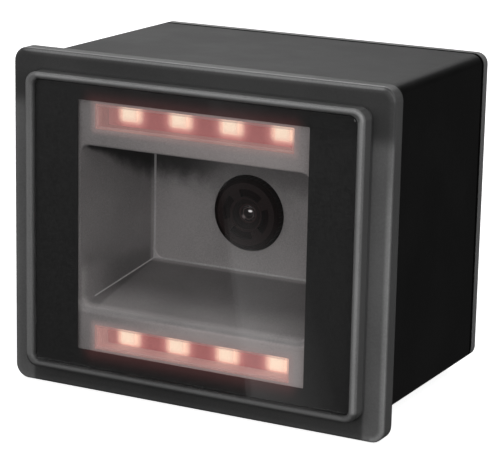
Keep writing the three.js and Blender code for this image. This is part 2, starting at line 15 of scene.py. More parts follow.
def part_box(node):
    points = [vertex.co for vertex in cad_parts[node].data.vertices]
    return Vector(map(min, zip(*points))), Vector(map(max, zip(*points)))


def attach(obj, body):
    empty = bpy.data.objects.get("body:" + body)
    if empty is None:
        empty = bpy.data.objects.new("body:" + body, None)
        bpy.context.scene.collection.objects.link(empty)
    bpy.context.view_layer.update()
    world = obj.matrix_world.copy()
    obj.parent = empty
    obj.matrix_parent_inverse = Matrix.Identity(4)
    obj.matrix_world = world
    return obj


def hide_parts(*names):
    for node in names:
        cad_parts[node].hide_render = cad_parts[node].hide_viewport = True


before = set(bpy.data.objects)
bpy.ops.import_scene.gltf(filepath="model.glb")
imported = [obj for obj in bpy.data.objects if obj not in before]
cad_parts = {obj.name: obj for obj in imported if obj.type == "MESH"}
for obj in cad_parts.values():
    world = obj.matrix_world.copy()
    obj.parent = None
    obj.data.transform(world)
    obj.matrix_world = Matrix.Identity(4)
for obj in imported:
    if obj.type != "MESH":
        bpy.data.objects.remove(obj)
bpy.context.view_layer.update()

MM = 0.001
ROOT_BODY = "scanner_case"
HEAD_BODY = "lens_head"
CELL_BODY = "lens_cell"


# ---------- measures from the frame
def node_mm(node):
    """A node's box as (left, right, front, back, low, high), in depth and rise millimetres."""
    low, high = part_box(node)
    return (
        low[0] / MM, high[0] / MM,
        (low[1] - FRONT_Y) / MM, (high[1] - FRONT_Y) / MM,
        (low[2] - MIDDLE_Z) / MM, (high[2] - MIDDLE_Z) / MM,
    )


FRONT_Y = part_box("front_bezel")[0][1]
MIDDLE_Z = (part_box("front_bezel")[0][2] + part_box("front_bezel")[1][2]) / 2
FLANGE = node_mm("front_bezel")
GLASS = node_mm("window_glass")
MASK = node_mm("window_mask")
SHROUD = node_mm("inner_shroud")
HOUSING = node_mm("main_housing")
COVER = node_mm("rear_cover")
SOCKET = node_mm("interface_socket")
LABEL = node_mm("blank_label")
HEAD = node_mm("lens_ring")
FRONT_LENS = node_mm("lens_front_glass")
SCREWS = [node_mm(f"case_screw_{index}") for index in range(1, 5)]
SPACERS = [node_mm(f"board_spacer_{index}") for index in range(1, 5)]
LIGHT_BOARDS = {row: node_mm(f"led_board_{row}") for row in ("top", "bottom")}
STRIPS = {row: node_mm(f"led_window_{row}") for row in ("top", "bottom")}
EMITTERS = {
    f"led_{row}_{number}": node_mm(f"led_{row}_{number}")
    for row in ("top", "bottom") for number in range(1, 5)
}


def middle(box):
    """The middle of a box from node_mm, as (x, depth, rise)."""
    return (box[0] + box[1]) / 2, (box[2] + box[3]) / 2, (box[4] + box[5]) / 2


def place(x, depth, rise):
    return Vector((x * MM, FRONT_Y + depth * MM, MIDDLE_Z + rise * MM))


# Sizes that the frame's boxes don't give, as the design has them.
FLANGE_FRONT = 3.3
FLANGE_CORNER = 2.8
FLANGE_ROUND = 0.5
SEAT_DEPTH = 6.75
RIM = (71.0, 58.2, 2.3)
RIM_ROUND = 0.5
RIM_INNER_ROUND = 0.6
RIM_FOOT = 0.12
LEDGE_DEPTH = 2.4
CLEAR = (48.7, 48.9, 0.25, 0.2)
SHROUD_FACE = (53.2, 50.8, 1.0, 0.2)
SHROUD_FLANGE = (7.0, 8.4)
MOUTH = {"depth": 2.0, "half": 24.4, "top": 15.85, "bottom": -15.95}
THROAT = {"depth": 25.0, "half": 21.2, "top": 13.3, "bottom": -11.0}
MOUTH_CORNER = 2.0
LIP = {"side": 0.45, "sill": 1.3}
WALL_CORNER = 0.25
PANEL_CORNER = 2.2
BACK_ROUND = 0.3
FUNNEL_WALL = 1.2
LENS_HOLE = 7.6
SCREW_HOLES = {"bezel": 1.35, "housing": 1.5, "shroud": 1.6}
BODY_CORNER = 2.2
WALL = 1.8
PILLAR = 6.2
COVER_FRONT = 52.65
COVER_ROUND = 0.3
LIP_WALL = 1.2
LIP_RELIEF = 8.2
PORT = (11.8, 7.0, 8.2)
LAMP_PITCH = 10.8
LAMP_ROWS = (21.95, -22.1)
SLOT_RADII = (3.5, 5.0)
SLOT_HALF = 31
SLOT_FIRST = -12.5

BLACK = (0, 0, 0, 1)
WHITE = (1, 1, 1, 1)
# How bright the backdrop and the floor look, and what the floor and the sheet on it throw back.
BACKDROP = 0.93
FLOOR_SHINE = 0.86
FLOOR_BOUNCE = 0.045
SHEET_BOUNCE = 0.38
# The sheet's straight side: its slant from straight ahead, and its place at the bezel's front.
SHEET_SLANT = 0.585
SHEET_OFFSET = 14.1
# Soft boxes: turn from straight ahead of the window in degrees, right being positive, then height
# in degrees and strength.
PANEL_WIDTH = 0.45
LOW_PANEL = 0.3
HIGH_PANEL = 0.42
PANEL_DISTANCE = 0.7
PANELS = {
    "front_low": (-10, 12, 0.98),
    "front_high": (-10, 45, 0.85),
    "left_low": (-50, 12, 1.5),
    "right_low": (30, 12, 1.7),
    "right_side": (70, 12, 2.0),
    "right_high": (70, 45, 1.55),
    "rear_right": (110, 45, 0.7),
    "rear_low": (-135, 12, 0.25),
    "rear_left": (-135, 45, 1.9),
    "rear_high": (-172, 48, 1.9),
}
# How much paler or darker places are painted than the rest of their piece, as painted highlights
# and
# painted shade: first on the bezel, where the cross pieces have a painted shade at the foot and one
# at the top, then in the recess.
CROWN_HIGHLIGHT = 1.0
CROSS_SHADES = (-0.28, -0.5)
UPRIGHT_LIGHT = 0.6
EDGE_HIGHLIGHT = 1.0
ROOF_SHADE = 0.85
LIP_HIGHLIGHT = 1.28
BACK_PANEL_LIGHT = 0.5
FLOOR_LIGHT_AND_SHADE = (-0.2, 0.5)
# Light that the lit strips throw on what is round them.
FACE_GLOW = (0.11, 0.092, 0.09, 1)
EDGE_GLOW = (0.14, 0.085, 0.08, 1)
POCKET_GLOW = (0.24, 0.12, 0.11, 1)
MASK_GLOW = (0.045, 0.012, 0.012, 1)


# ---------- mesh helpers
def corner_steps(width, height, corner, steps=8):
    """Each step round a rectangle's corners: the corner's centre, and the way the edge faces."""
    for quarter, (side_x, side_z) in enumerate(((1, -1), (1, 1), (-1, 1), (-1, -1))):
        for step in range(steps + 1):
            angle = pi / 2 * (quarter - 1 + step / steps)
            yield side_x * (width / 2 - corner), side_z * (height / 2 - corner), angle


def spoke(reach, angle, x=0.0, rise=0.0):
    """The point (x, rise) that is `reach` from a centre."""
    return x + reach * cos(angle), rise + reach * sin(angle)


def rectangle(width, height, corner=0.0, rise=0.0, x=0.0, steps=8):
    """Points (x, rise) of a rectangle with round corners, anticlockwise seen from the front."""
    return [
        spoke(corner, angle, x + centre_x, rise + centre_z)
        for centre_x, centre_z, angle in corner_steps(width, height, corner, steps)
    ]


def quarter_turns(steps):
    """Angles from 0 to a right angle."""
    return [pi / 2 * step / steps for step in range(steps + 1)]


def ring(depth, points):
    """A loop of (x, depth, rise) points at one depth."""
    return [(x, depth, rise) for x, rise in points]


def circle(radius, depth, x=0.0, rise=0.0, sides=64):
    """A loop round a line along the depth."""
    turns = [2 * pi * side / sides for side in range(sides)]
    return ring(depth, [spoke(radius, turn, x, rise) for turn in turns])


def loft(loops, closed=False):
    """A mesh in millimetres through loops with the same number of points.

    The ends are capped, or joined to each other when `closed` is true.
    """
    mesh = bmesh.new()
    rows = [[mesh.verts.new(point) for point in loop] for loop in loops]
    count = len(rows[0])
    pairs = list(zip(rows, rows[1:]))
    if closed:
        pairs.append((rows[-1], rows[0]))
    for near, far in pairs:
        for index in range(count):
            after = (index + 1) % count
            mesh.faces.new((near[index], near[after], far[after], far[index]))
    if not closed:
        mesh.faces.new(rows[0][::-1])
        mesh.faces.new(rows[-1])
    bmesh.ops.remove_doubles(mesh, verts=mesh.verts, dist=1e-5)
    bmesh.ops.recalc_face_normals(mesh, faces=mesh.faces)
    return mesh


def to_object(mesh, name):
    """Uses a bmesh up as a new object in the scene."""
    data = bpy.data.meshes.new(name)
    mesh.to_mesh(data)
    mesh.free()
    piece = bpy.data.objects.new(name, data)
    bpy.context.scene.collection.objects.link(piece)
    return piece


def boolean(base, tools, operation):
    """Joins or cuts `base`, a bmesh in millimetres, with other bmeshes. All are used up."""
    target = to_object(base, "scratch_base")
    helpers = []
    for tool in tools:
        helper = to_object(tool, "scratch_tool")
        modifier = target.modifiers.new("cut", "BOOLEAN")
        modifier.operation = operation
        modifier.solver = "EXACT"
        modifier.object = helper
        helpers.append(helper)
    graph = bpy.context.evaluated_depsgraph_get()
    result = bmesh.new()
    result.from_object(target, graph)
    for scratch in [target, *helpers]:
        data = scratch.data
        bpy.data.objects.remove(scratch)
        bpy.data.meshes.remove(data)
    bmesh.ops.remove_doubles(result, verts=result.verts, dist=1e-4)
    bmesh.ops.dissolve_degenerate(result, edges=result.edges, dist=1e-4)
    return result


def cut(base, *tools):
    return boolean(base, tools, "DIFFERENCE")


def join(base, *tools):
    return boolean(base, tools, "UNION")


def finish_piece(mesh, name, node, material, sharp=28, body=ROOT_BODY):
    """Edges that turn more than `sharp` degrees stay crisp.
    """
    for vert in mesh.verts:
        vert.co = place(*vert.co)
    for face in mesh.faces:
        face.smooth = True
    for edge in mesh.edges:
        if len(edge.link_faces) == 2:
            edge.smooth = edge.calc_face_angle(0) < radians(sharp)
    piece = to_object(mesh, name)
    for entry in material if isinstance(material, list) else [material]:
        piece.data.materials.append(entry)
    weighted = piece.modifiers.new("flat faces stay flat", "WEIGHTED_NORMAL")
    weighted.keep_sharp = True
    weighted.weight = 80
    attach(piece, body)
    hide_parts(node)


def shrunk(shape, amount=0.0, steps=8):
    """The outline of a rounded rectangle (width, height, corner, rise) moved in by `amount`."""
    width, height, corner, rise = shape
    return rectangle(width - 2 * amount, height - 2 * amount, max(corner - amount, 0.05), rise,
                     steps=steps)


def fitted(box, corner, grow=0.0):
    """The rounded rectangle round a box from node_mm, `grow` outside it."""
    return box[1] - box[0] + 2 * grow, box[5] - box[4] + 2 * grow, corner, middle(box)[2]


def rings(shape, *steps, points=8):
    """Loops of one rounded rectangle, for each (depth, how far it is moved in)."""
    return [ring(depth, shrunk(shape, inset, points)) for depth, inset in steps]


def curved(shape, end, deep, out, steps):
    """Loops that turn from the wall that `shape` gives into a face at the depth `end`.

    They start `deep` behind that face, and by its depth they have spread by `out`.
    """
    return [
        ring(end + deep * (1 - sin(turn)), shrunk(shape, -out * (1 - cos(turn))))
        for turn in quarter_turns(steps)
    ]


def use_second(mesh, wanted):
    """Gives a piece's second material to the faces that `wanted` picks."""
    for face in mesh.faces:
        if wanted(face, face.calc_center_median()):
            face.material_index = 1


def box_mesh(x_from, x_to, front, back, low, high, corner=0.0, steps=4):
    outline = rectangle(x_to - x_from, high - low, corner, (low + high) / 2,
                        (x_from + x_to) / 2, steps if corner else 1)
    return loft([ring(front, outline), ring(back, outline)])


def slab(box, grow, front, back, corner=0.0):
    """A solid with the outline of a box from node_mm, `grow` outside it."""
    return box_mesh(box[0] - grow, box[1] + grow, front, back, box[4] - grow, box[5] + grow, corner)


def turned(profile, x, rise, sides=48):
    """A solid of revolution about a line along the depth, from (radius, depth) points."""
    return loft([circle(max(radius, 0.001), depth, x, rise, sides) for radius, depth in profile])


def rod(radius, front, back, x=0.0, rise=0.0, sides=32):
    return turned([(radius, front), (radius, back)], x, rise, sides)


# ---------- numbers in materials
def operator(operation, swapped=False):
    """A method of Value for one operation, `swapped` when the other number comes first."""
    if swapped:
        return lambda self, other: maths(operation, other, self)
    return lambda self, other=0.0: maths(operation, self, other)


class Value:
    """A number that a material works out at each point: sums on it add nodes to its tree."""

    def __init__(self, tree, socket):
        self.tree, self.socket = tree, socket

    __add__ = __radd__ = operator("ADD")
    __sub__, __rsub__ = operator("SUBTRACT"), operator("SUBTRACT", True)
    __mul__ = __rmul__ = operator("MULTIPLY")
    __truediv__, __pow__, __abs__ = operator("DIVIDE"), operator("POWER"), operator("ABSOLUTE")


class Spot:
    """The shading point, as a vector in millimetres and as its x, depth and rise."""

    def __init__(self, tree):
        where = add(tree, "TexCoord").outputs["Object"]
        self.tree = tree
        self.vector = scaled(tree, where, 1 / MM)
        split = add(tree, "SeparateXYZ", Vector=self.vector).outputs
        self.x = Value(tree, split[0])
        self.depth = Value(tree, split[1]) - FRONT_Y / MM
        self.rise = Value(tree, split[2]) - MIDDLE_Z / MM


def feed(tree, target, value):
    """Links another node's output to a socket, or sets the socket to a plain value."""
    source = value.socket if isinstance(value, Value) else value
    if isinstance(source, bpy.types.NodeSocket):
        tree.links.new(source, target)
    else:
        target.default_value = source


def add(tree, kind, settings=None, **sockets):
    """A shader node with its settings. Its sockets are named, or numbered as _0, _1 and so on."""
    node = tree.nodes.new("ShaderNode" + kind)
    for key, value in (settings or {}).items():
        setattr(node, key, value)
    for key, value in sockets.items():
        name = int(key[1:]) if key[0] == "_" else key.replace("_", " ")
        feed(tree, node.inputs[name], value)
    return node


def maths(operation, first, second=0.0):
    tree = (first if isinstance(first, Value) else second).tree
    node = add(tree, "Math", {"operation": operation}, _0=first, _1=second)
    return Value(tree, node.outputs[0])


def lowest(first, second):
    return maths("MINIMUM", first, second)


def highest(first, second):
    return maths("MAXIMUM", first, second)


def length(first, second):
    """The length of a line that goes `first` one way and `second` square to it."""
    return maths("SQRT", first ** 2.0 + second ** 2.0)


def between(value, low, high, to_low=0.0, to_high=1.0, smooth=True):
    """`to_low` where the value is `low`, `to_high` where it is `high`, and level past them."""
    node = value.tree.nodes.new("ShaderNodeMapRange")
    node.interpolation_type = "SMOOTHSTEP" if smooth else "LINEAR"
    for index, entry in enumerate((value, low, high, to_low, to_high)):
        feed(value.tree, node.inputs[index], entry)
    return Value(value.tree, node.outputs[0])


def band(value, low, full_from, full_to, high):
    """1 from `full_from` to `full_to`, falling to 0 at `low` and at `high`."""
    return between(value, low, full_from) * between(value, high, full_to)


def toward(share, tone):
    """A factor of 1 where `share` is 0, and of `tone` where it is 1."""
    return between(share, 0.0, 1.0, 1.0, tone)


def blend(factor, first, second):
    """A mix of two colours."""
    node = factor.tree.nodes.new("ShaderNodeMix")
    node.data_type = "RGBA"
    for index, value in ((0, factor), (6, first), (7, second)):
        feed(factor.tree, node.inputs[index], value)
    return node.outputs[2]


def grey(level, tint=(1, 1, 1)):
    return (level * tint[0], level * tint[1], level * tint[2], 1)


def scaled(tree, vector, factor):
    return add(tree, "VectorMath", {"operation": "SCALE"}, Vector=vector,
               Scale=factor).outputs[0]


def noise(spot, scale, detail=2.0, rough=0.5, vector=None):
    """Noise over the shading point, or over another vector."""
    where = spot.vector if vector is None else vector
    node = add(spot.tree, "TexNoise", Vector=where, Scale=scale, Detail=detail,
               Roughness=rough)
    return Value(spot.tree, node.outputs["Fac"])


def bumped(tree, height, strength, distance=0.0001):
    return add(tree, "Bump", Height=height, Strength=strength,
               Distance=distance).outputs[0]


# ---------- materials
def new_material(name):
    material = bpy.data.materials.new(name)
    material.use_nodes = True
    tree = material.node_tree
    tree.nodes.clear()
    return material, tree, Spot(tree)


def finished(material, surface, sampling="NONE"):
    """Ends a material. The renderer looks for its own light only if `sampling` says so."""
    add(material.node_tree, "OutputMaterial", Surface=surface.outputs[0])
    material.cycles.emission_sampling = sampling
    return material


def mixed(tree, factor, first, second):
    """A mix of two shader nodes."""
    return add(tree, "MixShader", _0=factor, _1=first.outputs[0], _2=second.outputs[0])


def glowing(tree, colour, roughness, glow):
    """A shader with light of its own."""
    return add(tree, "BsdfPrincipled", Base_Color=colour, Roughness=roughness,
               Emission_Color=glow, Emission_Strength=1.0)


def surfaced(material, spot, colour, rough, normal, fixed, tone_at=None, glow_at=None):
    """Ends a material: `tone_at` scales its colour from place to place, `glow_at` adds light.

    `fixed` holds the shader's values that are the same all over.
    """
    tree = spot.tree
    if tone_at:
        colour = scaled(tree, colour, tone_at(spot))
    shader = add(tree, "BsdfPrincipled", Base_Color=colour, Roughness=rough,
                 Normal=normal)
    for name, value in fixed.items():
        shader.inputs[name].default_value = value
    if glow_at:
        feed(tree, shader.inputs["Emission Color"], glow_at(spot))
        shader.inputs["Emission Strength"].default_value = 1.0
    return finished(material, shader)


def moulded(name, level, tint=(1, 1, 1), grain=3.2, bump=0.1, roughness=0.5, variation=0.1,
            specular=0.5, **by_place):
    """Fine-textured moulded plastic: a spark-eroded grain and slow changes of tone."""
    material, tree, spot = new_material(name)
    fine = noise(spot, grain, 2.0, 0.6)
    slow = noise(spot, 0.05, 3.0, 0.55)
    colour = blend(between(fine * 0.5 + slow * 0.5, 0.36, 0.64),
                   grey(level * (1 - variation), tint), grey(level * (1 + variation), tint))
    rough = between(slow, 0.3, 0.7, roughness - 0.05, roughness + 0.06)
    return surfaced(material, spot, colour, rough, bumped(tree, fine, bump, 0.00004),
                    {"Specular IOR Level": specular}, **by_place)


def plain_finish(name, low, high, scale=1.5, roughness=0.4, metallic=0.0, bump=0.05, coat=0.0,
                 stretch=(1, 1, 1), specular=0.5, **by_place):
    """A fine finish between two colours, such as film, ribbon, foam, brass or zinc plate."""
    material, tree, spot = new_material(name)
    where = add(tree, "Mapping", Vector=spot.vector, Scale=stretch).outputs[0]
    grain = noise(spot, scale, 3.0, 0.6, where)
    colour = blend(between(grain, 0.35, 0.65), (*low, 1), (*high, 1))
    rough = between(grain, 0.3, 0.7, max(roughness - 0.07, 0.03), roughness + 0.07)
    fixed = {"Metallic": metallic, "Specular IOR Level": specular}
    if coat:
        fixed.update({"Coat Weight": coat, "Coat Roughness": 0.15})
    return surfaced(material, spot, colour, rough, bumped(tree, grain, bump, 0.00005), fixed,
                    **by_place)


def circuit_board(name):
    """Green solder mask with faint copper tracks under it and tinned dots."""
    material, tree, spot = new_material(name)
    flat = add(tree, "Mapping", Vector=spot.vector, Scale=(1, 0.02, 1)).outputs[0]
    upright = add(tree, "Mapping", Vector=flat, Rotation=(radians(90), 0, 0))
    tracks = add(tree, "TexBrick", {"offset": 0.37}, Vector=upright.outputs[0],
                 Color1=BLACK, Color2=BLACK, Mortar=WHITE, Scale=0.33, Mortar_Size=0.05,
                 Mortar_Smooth=0.1)
    dots = add(tree, "TexVoronoi", Vector=flat, Scale=0.55)
    pads = between(Value(tree, dots.outputs["Distance"]), 0.16, 0.12)
    mask = blend(Value(tree, tracks.outputs["Color"]), (0.006, 0.07, 0.02, 1),
                 (0.015, 0.13, 0.04, 1))
    rough = between(noise(spot, 0.4, 2.0), 0.3, 0.7, 0.28, 0.4)
    shader = add(tree, "BsdfPrincipled", Roughness=rough, Metallic=pads,
                 Base_Color=blend(pads, mask, (0.55, 0.56, 0.5, 1)),
                 Normal=bumped(tree, tracks.outputs["Fac"], 0.15))
    return finished(material, shader)


# ---------- tones and glows by place
# The limits below are x, depth and rise, or distances, in millimetres.
def near_lamps(spot, half, soft):
    """1 on each lamp's square and 0 away from it: soft squares at the lamps' pitch."""
    beside = abs(spot.x)
    across = LAMP_PITCH / 2 - maths("PINGPONG", beside, LAMP_PITCH / 2)
    along = lowest(*[abs(spot.rise - row) for row in LAMP_ROWS])
    reach = length(highest(across - half[0], 0.0), highest(along - half[1], 0.0))
    return between(reach, soft, 0.0) * between(beside, 22.5, 20.5)


def near_strips(spot, soft):
    """1 over the two light strips, falling to 0 a soft distance outside them."""
    left, right, _, _, low, high = STRIPS["top"]
    along = lowest(*[abs(spot.rise - middle(box)[2]) for box in STRIPS.values()])
    reach = length(highest(abs(spot.x) - (right - left) / 2, 0.0),
                   highest(along - (high - low) / 2, 0.0))
    return between(reach, soft, 0.0)


def from_lens(spot, shift=(0.0, 0.0), stretch=1.0):
    """How far a point is from the lens's axis, or from a line beside it."""
    x, _, rise = middle(HEAD)
    return length((spot.x - (x + shift[0])) / stretch, spot.rise - (rise + shift[1]))


def within(spot, half_x, half_z, corner):
    """How far a point lies inside the outline of a rounded rectangle."""
    past_x = abs(spot.x) - (half_x - corner)
    past_z = abs(spot.rise) - (half_z - corner)
    outside = length(highest(past_x, 0.0), highest(past_z, 0.0))
    return corner - (outside + lowest(highest(past_x, past_z), 0.0))


def rim_painted_light(spot):
    """Painted light and shade on the rim: a paler crown and top wall, a painted highlight along the
    crown's near edge that is brightest at the top, painted shade on the crown's inner part and at
    the bottom, and a painted shadow round the wall's foot.
    """
    depth, rise = spot.depth, spot.rise
    inset = within(spot, RIM[0] / 2, RIM[1] / 2, RIM[2])
    at_top = between(rise, 26.5, 27.5)
    at_foot = between(rise, -26.5, -27.5)
    on_left = toward(between(spot.x, -32.5, -33.5), 0.2)
    on_crown = between(depth, 2.0, 0.5)
    # Painted highlight along the crown's near edge, where light catches its rounding.
    painted_highlight = (between(inset + at_top * 0.1, 0.1, 0.4) * between(inset + at_top * 0.15, 1.0, 0.6)
            * between(depth, 0.9, 0.5) * on_left * toward(at_foot, 0.0) * toward(at_top, 1.1))
    inner = between(inset + at_top * 0.3, 0.9, 1.4) * on_crown * on_left * toward(at_top, 1.4)
    outer = between(inset, 0.9, 0.2) * on_crown * at_foot
    # Painted shadow just outside the rim at its foot, and painted light on the rim's upward-facing
    # top wall.
    wall_foot = between(inset, -0.55, -0.2) * band(depth, 2.9, 3.1, 3.5, 3.7)
    top_wall = band(rise, 28.7, 28.95, 29.5, 30.0) * band(depth, 0.4, 0.9, 3.1, 3.3)
    return (between(depth, 1.0, 0.45, 1.0, 1.0 + CROWN_HIGHLIGHT) * (1.0 + painted_highlight * 0.7)
            * toward(inner, 0.6) * toward(outer, 0.45) * toward(wall_foot, 0.7)
            * toward(top_wall, 1.4) * toward(at_foot * between(depth, 1.5, 0.5), 0.75))


def flange_painted_light(spot):
    """Painted light and shade on the flange: uprights paler than the cross pieces, painted
    highlights along its front edge and top rounding, a paler top face, a darker lower face and a
    painted shadow under the rim.
    """
    x, depth, rise = spot.x, spot.depth, spot.rise
    beside = abs(x)
    on_face = band(depth, 3.1, 3.22, 3.4, 3.75)
    # Uprights painted paler and cross pieces darker, for how the light falls on them.
    upright = between(beside, 35.0, 36.2) * between(rise, 25.5, 20.0)
    face = between(upright, 0.0, 1.0, between(rise, -20.0, 20.0, *CROSS_SHADES), UPRIGHT_LIGHT)
    # Painted shadow on the face just under the rim.
    below_rim = (between(within(spot, RIM[0] / 2, RIM[1] / 2, RIM[2]), -0.9, 0.0) * on_face
                 * between(rise, -20.0, -26.0) * between(x, 36.0, 28.0, 0.2, 1.0))
    edge = within(spot, (FLANGE[1] - FLANGE[0]) / 2, (FLANGE[5] - FLANGE[4]) / 2, FLANGE_CORNER)
    at_side = between(beside, 36.5, 37.5)
    # Painted highlight along the flange's rounded front edge.
    painted_highlight = (band(edge, 0.08, 0.35, 0.6, 1.5)
            * highest(at_side, between(rise, -30.0, -20.0, 0.3, 1.0))
            * toward(at_side * band(rise, 8.0, 22.0, 30.0, 31.0), 0.4)
            * between(x, -38.0, -35.0, 0.2, 1.0))
    # Painted highlight on the top rounding, a paler top face and a darker lower face, for light
    # from above.
    top_round = (between(rise, 32.1, 32.55) * between(depth, 4.0, 3.8)
                 * band(x, -38.5, -37.0, 37.0, 38.5))
    top_face = between(rise, 32.7, 32.9) * between(depth, 3.8, 4.0)
    low_face = between(rise, -27.0, -29.0) * between(beside, 36.0, 34.0)
    return ((1.0 + on_face * face) * (1.0 + painted_highlight * EDGE_HIGHLIGHT) * toward(below_rim, 0.35)
            * toward(top_round, 3.0) * toward(top_face, 1.35) * toward(low_face, 0.85))


# The rim's and the flange's painted light and shade together.
def bezel_painted_light(spot):
    return rim_painted_light(spot) * flange_painted_light(spot)


def roof_shade(spot):
    """The ragged-edged shade that lies up under the roof of the recess."""
    run = highest(spot.depth - MOUTH["depth"], 0.3)
    ragged = between(noise(spot, 0.28, 4.0), 0.3, 0.7, -0.045, 0.045, False)
    below = (MOUTH["top"] - run * 0.11 - spot.rise) / run + ragged
    return (between(spot.depth, 2.4, 5.0) * between(below, 0.46, 0.18, 0.0, ROOF_SHADE)
            * between(spot.x, -15.0, -2.0, 1.0, 0.45))


def shroud_painted_light(spot):
    """Painted light and shade in the recess: painted shade under the roof and in two low corners, a
    paler back panel, a recess floor paler near the mouth, a painted highlight on the sill, and a
    fine pale line round the back panel's lower corners as a painted highlight.
    """
    x, depth, rise = spot.x, spot.depth, spot.rise
    corner_x = abs(x) - (THROAT["half"] - PANEL_CORNER)
    corner_z = THROAT["bottom"] + PANEL_CORNER - rise
    off = abs(length(corner_x, corner_z) - (PANEL_CORNER - 0.1))
    # A painted highlight: a fine pale line where the back panel's rounded lower corners catch the
    # light.
    line = (between(off, 0.3, 0.0) * between(depth, 24.0, 24.4)
            * maths("GREATER_THAN", corner_x, 0.0) * maths("GREATER_THAN", corner_z, 0.0))
    # A paler back panel, and a recess floor paler near the mouth and darker further in, painted for
    # how the light falls.
    on_back = between(depth, 23.5, 24.3, 0.0, BACK_PANEL_LIGHT)
    on_floor = (between(depth, 15.0, 3.5, *FLOOR_LIGHT_AND_SHADE) * between(rise, -7.0, -10.0)
                * band(depth, 2.2, 3.0, 23.0, 24.0))
    # Painted highlight along the rounded sill of the mouth.
    lip = between(abs(rise + 15.8), 1.8, 0.5) * between(depth, 5.0, 3.0)
    # Painted shade low on the back panel's right and low on the left wall near the mouth.
    low_right = between(x, 10.0, 21.0) * between(rise, 2.0, -8.0) * between(depth, 22.0, 24.0)
    low_left = between(x, -20.5, -21.5) * between(rise, -2.0, -12.0) * between(depth, 2.4, 5.0)
    return ((1.0 - roof_shade(spot)) * (1.0 - (low_right + low_left) * 0.3)
            * (1.0 + line * 0.9 + on_back + on_floor) * toward(lip, LIP_HIGHLIGHT))


def shroud_glow(spot):
    """Light from the strips on the face round them, and rosy light inside their pockets."""
    x, depth = spot.x, spot.depth
    share = (near_strips(spot, 9.0) * between(x, -22.0, 8.0, 0.1, 1.0)
             * between(x, 26.0, 12.0, 0.5, 1.0) * between(spot.rise, 10, -10, 0.85, 1.6))
    close = blend(near_strips(spot, 1.6), blend(share, BLACK, FACE_GLOW), EDGE_GLOW)
    on_face = blend(between(depth, 2.3, 2.1), BLACK, close)
    pocket = blend(near_strips(spot, 0.6), BLACK, POCKET_GLOW)
    return blend(band(depth, 2.05, 2.2, 7.0, 7.2), on_face, pocket)


def mask_tones(spot):
    """A little duller in its upper right corner."""
    return toward(between(spot.x, 12.0, 24.0) * between(spot.rise, 20.0, 26.0), 0.6)


def mask_glow(spot):
    return blend(near_strips(spot, 4.5) ** 2.0, BLACK, MASK_GLOW)


def lens_tones(spot):
    """A duller cone, and a pale ring round the glass."""
    reach = from_lens(spot)
    cone, lip = band(reach, 1.96, 2.0, 2.9, 3.0), band(reach, 3.0, 3.1, 3.4, 3.5)
    tone = toward(cone, 0.6) * toward(lip, 1.3)
    return between(between(reach, 1.97, 1.9), 0.0, 1.0, tone, 2.2)


def glass_painted_ring(spot):
    """A painted highlight: a pale ring on the glass round its middle."""
    return between(abs(from_lens(spot) - 1.15), 0.14, 0.02, 1.0, 5.0)


def glass_glint(spot):
    """Painted glints: the soft boxes' small bright images on the dome, given as light of its own.
    """
    main = between(from_lens(spot, (0.42, 0.5), 1.9), 0.32, 0.1)
    second = between(from_lens(spot, (-1.1, -0.85)), 0.7, 0.05)
    return blend(main, blend(second, BLACK, (0.1, 0.085, 0.085, 1)), (0.7, 0.67, 0.67, 1))


# ---------- lit and clear materials
def light_board_finish(name):
    """The board behind the lamps, white solder mask lit rose by them."""
    material, tree, spot = new_material(name)
    speck = between(noise(spot, 2.5, 2.0), 0.35, 0.65)
    base = blend(speck, (0.3, 0.12, 0.12, 1), (0.36, 0.15, 0.15, 1))
    halo = blend(near_lamps(spot, (1.0, 0.7), 3.6), (0.2, 0.028, 0.032, 1), (0.8, 0.34, 0.3, 1))
    warm = blend(between(abs(spot.x), 17.0, 21.0), halo, POCKET_GLOW)
    glow = blend(near_lamps(spot, (1.5, 0.9), 1.7), warm, (1.3, 0.98, 0.72, 1))
    return finished(material, glowing(tree, base, 0.6, glow))


def lamp_finish(name):
    """A lit lamp: cream at the middle, rosy towards its edge."""
    material, tree, spot = new_material(name)
    core = near_lamps(spot, (0.7, 0.4), 1.5)
    glow = blend(core, (1.06, 0.74, 0.58, 1), (1.25, 1.14, 0.87, 1))
    return finished(material, glowing(tree, (0.5, 0.35, 0.25, 1), 0.35, glow))


def strip_finish(name, haze, tint, glow):
    """A hazy, lightly pink diffuser that the lamps show through."""
    material, tree, spot = new_material(name)
    cloud = between(noise(spot, 1.2, 3.0), 0.3, 0.7)
    body = glowing(tree, blend(cloud, grey(0.92, tint), grey(1, tint)), 0.3, (*glow, 1))
    through = add(tree, "BsdfTransparent", Color=(1, 0.97, 0.97, 1))
    return finished(material, mixed(tree, haze, through, body))


def clear_pane(name):
    """Clear glass: what isn't mirrored passes straight through."""
    material, tree, spot = new_material(name)
    facing = Value(tree, add(tree, "LayerWeight", Blend=0.5).outputs["Facing"])
    mirror = facing ** 5.0 * 0.96 + 0.04
    smears = between(noise(spot, 0.12, 4.0), 0.3, 0.7, 0.0, 0.003)
    shine = add(tree, "BsdfAnisotropic", Color=WHITE, Roughness=smears)
    through = add(tree, "BsdfTransparent", Color=grey(0.985))
    return finished(material, mixed(tree, mirror, through, shine))


# ---------- bezel, housing and cover
def corners(box, inset=0.0):
    """The four corners of a box from node_mm, moved in, each as a box with no width."""
    return [
        (x, x, box[2], box[3], rise, rise)
        for rise in (box[5] - inset, box[4] + inset) for x in (box[0] + inset, box[1] - inset)
    ]


def axes(boxes):
    """Where the middles of screws or spacers are, as (x, rise)."""
    return [(middle(box)[0], middle(box)[2]) for box in boxes]


